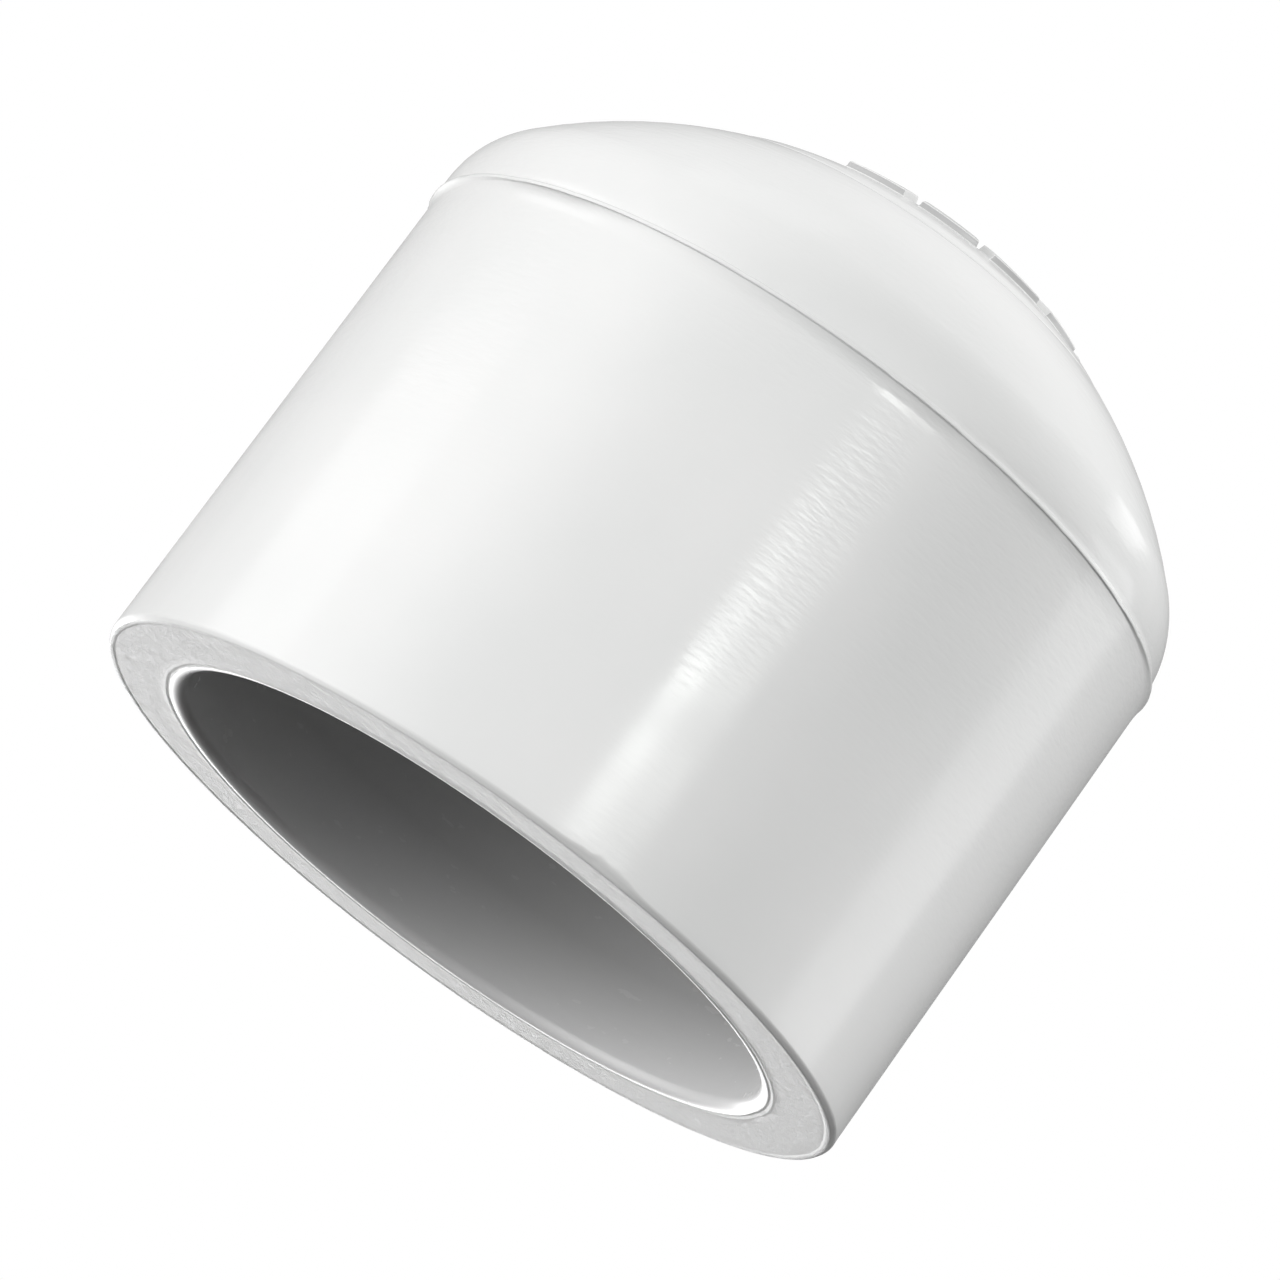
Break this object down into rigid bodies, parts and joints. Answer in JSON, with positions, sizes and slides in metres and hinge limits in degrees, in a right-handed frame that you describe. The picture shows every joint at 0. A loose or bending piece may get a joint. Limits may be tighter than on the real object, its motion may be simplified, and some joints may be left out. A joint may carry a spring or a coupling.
{
  "type": "pipe cap",
  "caption": "Slip-on end cap for plastic pressure pipe: a plain round solvent-weld socket closed by a low rounded dome, moulded in one piece.",
  "frame": {"origin": "centre of the open mouth, in the plane of its flat rim", "axes": "+Z along the cap's axis, from the mouth towards the domed end; the dome's mould half is out of line towards -X"},
  "size_m": [0.0428, 0.0428, 0.0402],
  "materials": {
    "white_pvc": "semi-gloss moulded rigid PVC, plain white"
  },
  "bodies": {
    "root": {"cap_body": "white_pvc"}
  },
  "joints": []
}
